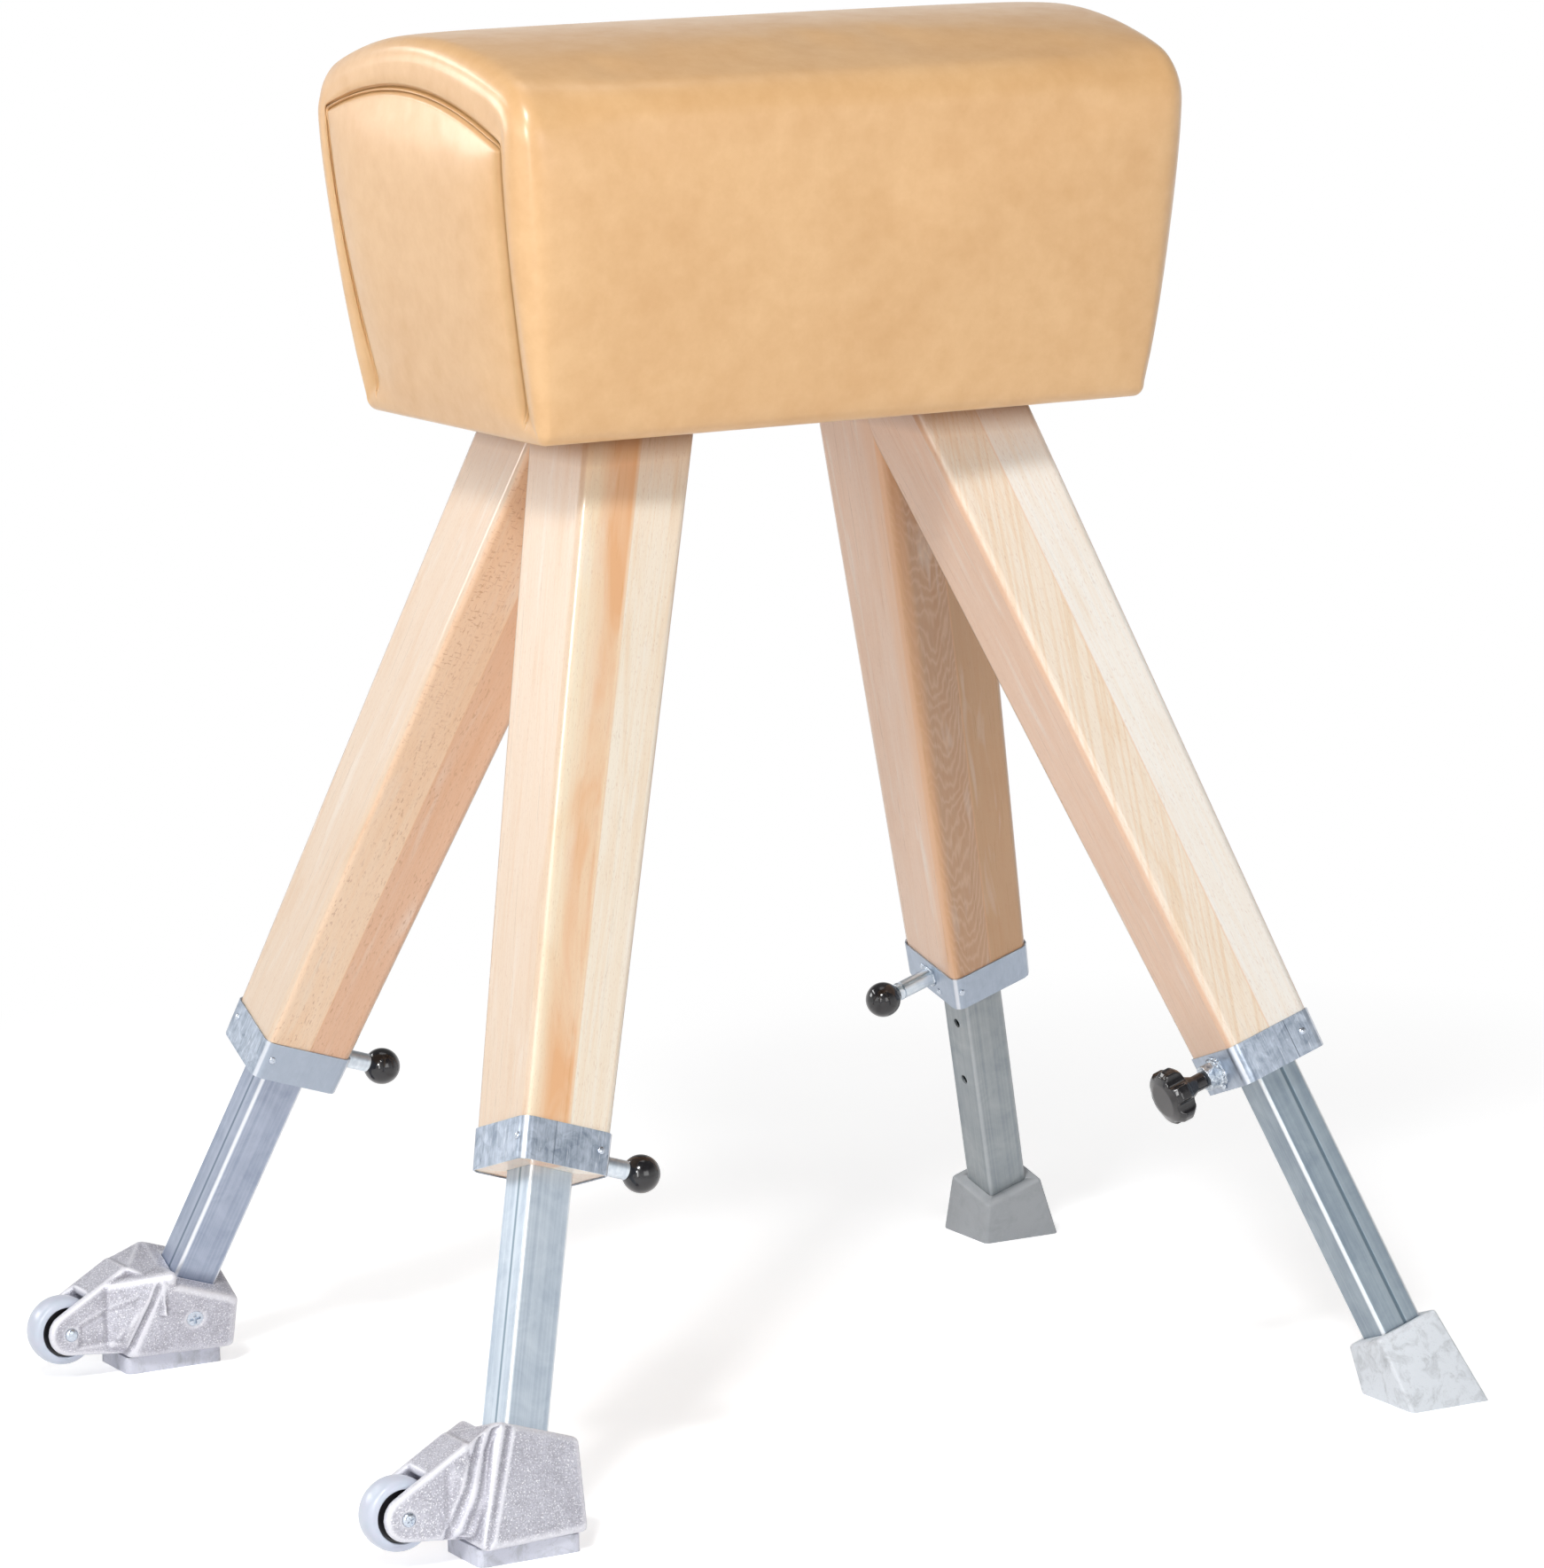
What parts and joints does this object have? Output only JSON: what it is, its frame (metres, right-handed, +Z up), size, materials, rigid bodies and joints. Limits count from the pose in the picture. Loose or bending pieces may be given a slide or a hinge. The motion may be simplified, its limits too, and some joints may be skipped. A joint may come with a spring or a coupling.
{
  "type": "vaulting buck",
  "caption": "Vaulting buck with a leather-covered padded body on splayed beech legs, with telescopic steel tubes, rubber feet and castors",
  "frame": {"origin": "on the floor under the middle of the box around the whole buck", "axes": "X along the body with the castors at -X, Y across it with the clamp leg at -Y, Z up"},
  "size_m": [0.9664, 0.74, 1.1],
  "materials": {
    "leather": "smooth, semi-gloss",
    "foam": "matt foam",
    "beech": "clear lacquer",
    "plywood": "raw",
    "zinc": "galvanised",
    "bolt_steel": "zinc plated",
    "cast_aluminium": "as cast, grainy",
    "black_plastic": "gloss",
    "grey_rubber": "matt",
    "pad_rubber": "matt",
    "tyre_grey": "smooth"
  },
  "bodies": {
    "frame": {"leather_cover": "leather", "foam_padding": "foam", "core_frame": "plywood", "base_board": "plywood", "leg_front_left": "beech", "leg_bolt_front_left": "bolt_steel", "ferrule_front_left": "zinc", "plunger_barrel_front_left": "zinc", "leg_rear_left": "beech", "leg_bolt_rear_left": "bolt_steel", "ferrule_rear_left": "zinc", "plunger_barrel_rear_left": "zinc", "leg_front_right": "beech", "leg_bolt_front_right": "bolt_steel", "ferrule_front_right": "zinc", "leg_rear_right": "beech", "leg_bolt_rear_right": "bolt_steel", "ferrule_rear_right": "zinc", "plunger_barrel_rear_right": "zinc", "clamp_boss": "zinc"},
    "extension_front_left": {"tube_front_left": "zinc", "tube_plug_front_left": "black_plastic", "castor_housing_front_left": "cast_aluminium", "castor_pad_front_left": "pad_rubber", "axle_front_left": "bolt_steel", "housing_screw_front_left": "bolt_steel"},
    "extension_rear_left": {"tube_rear_left": "zinc", "tube_plug_rear_left": "black_plastic", "castor_housing_rear_left": "cast_aluminium", "castor_pad_rear_left": "pad_rubber", "axle_rear_left": "bolt_steel", "housing_screw_rear_left": "bolt_steel"},
    "extension_front_right": {"tube_front_right": "zinc", "tube_plug_front_right": "black_plastic", "rubber_foot_front_right": "grey_rubber"},
    "extension_rear_right": {"tube_rear_right": "zinc", "tube_plug_rear_right": "black_plastic", "rubber_foot_rear_right": "grey_rubber"},
    "wheel_front_left": {"wheel_tyre_front_left": "tyre_grey", "wheel_hub_front_left": "black_plastic"},
    "wheel_rear_left": {"wheel_tyre_rear_left": "tyre_grey", "wheel_hub_rear_left": "black_plastic"},
    "plunger_front_left": {"plunger_pin_front_left": "bolt_steel", "ball_knob_front_left": "black_plastic"},
    "plunger_rear_left": {"plunger_pin_rear_left": "bolt_steel", "ball_knob_rear_left": "black_plastic"},
    "plunger_rear_right": {"plunger_pin_rear_right": "bolt_steel", "ball_knob_rear_right": "black_plastic"},
    "clamp_screw": {"clamp_screw": "bolt_steel"},
    "clamp_knob": {"star_knob": "black_plastic"}
  },
  "joints": [
    {"name": "slide_front_left", "type": "slide", "parent": "frame", "child": "extension_front_left", "axis": [-0.2982, -0.3304, -0.8955], "range_m": [-0.1248, 0.312]},
    {"name": "slide_rear_left", "type": "slide", "parent": "frame", "child": "extension_rear_left", "axis": [-0.2982, 0.3304, -0.8955], "range_m": [-0.1248, 0.312]},
    {"name": "slide_front_right", "type": "slide", "parent": "frame", "child": "extension_front_right", "axis": [0.2982, -0.3304, -0.8955], "range_m": [-0.1248, 0.312]},
    {"name": "slide_rear_right", "type": "slide", "parent": "frame", "child": "extension_rear_right", "axis": [0.2982, 0.3304, -0.8955], "range_m": [-0.1248, 0.312]},
    {"name": "roll_front_left", "type": "hinge", "parent": "extension_front_left", "child": "wheel_front_left", "pos_m": [-0.45475, -0.318, 0.041], "axis": [0, 1, 0], "continuous": true},
    {"name": "roll_rear_left", "type": "hinge", "parent": "extension_rear_left", "child": "wheel_rear_left", "pos_m": [-0.45475, 0.318, 0.041], "axis": [0, 1, 0], "continuous": true},
    {"name": "pull_front_left", "type": "slide", "parent": "frame", "child": "plunger_front_left", "axis": [0.9488, 0, -0.3159], "range_m": [0, 0.012], "stiffness_N_per_m": 600, "springref_m": -0.008},
    {"name": "pull_rear_left", "type": "slide", "parent": "frame", "child": "plunger_rear_left", "axis": [0.9488, 0, -0.3159], "range_m": [0, 0.012], "stiffness_N_per_m": 600, "springref_m": -0.008},
    {"name": "pull_rear_right", "type": "slide", "parent": "frame", "child": "plunger_rear_right", "axis": [-0.9488, 0, -0.3159], "range_m": [0, 0.012], "stiffness_N_per_m": 600, "springref_m": -0.008},
    {"name": "clamp_travel", "type": "slide", "parent": "frame", "child": "clamp_screw", "axis": [-0.9488, 0, -0.3159], "range_m": [0, 0.003]},
    {"name": "knob_turn", "type": "hinge", "parent": "clamp_screw", "child": "clamp_knob", "pos_m": [0.2764, -0.22956, 0.24794], "axis": [-0.9488, 0, -0.3159], "range_deg": [0, 720]}
  ],
  "couplings": [
    {"joint": "clamp_travel", "follows": "knob_turn", "m_per_rad": 0.00023873}
  ]
}
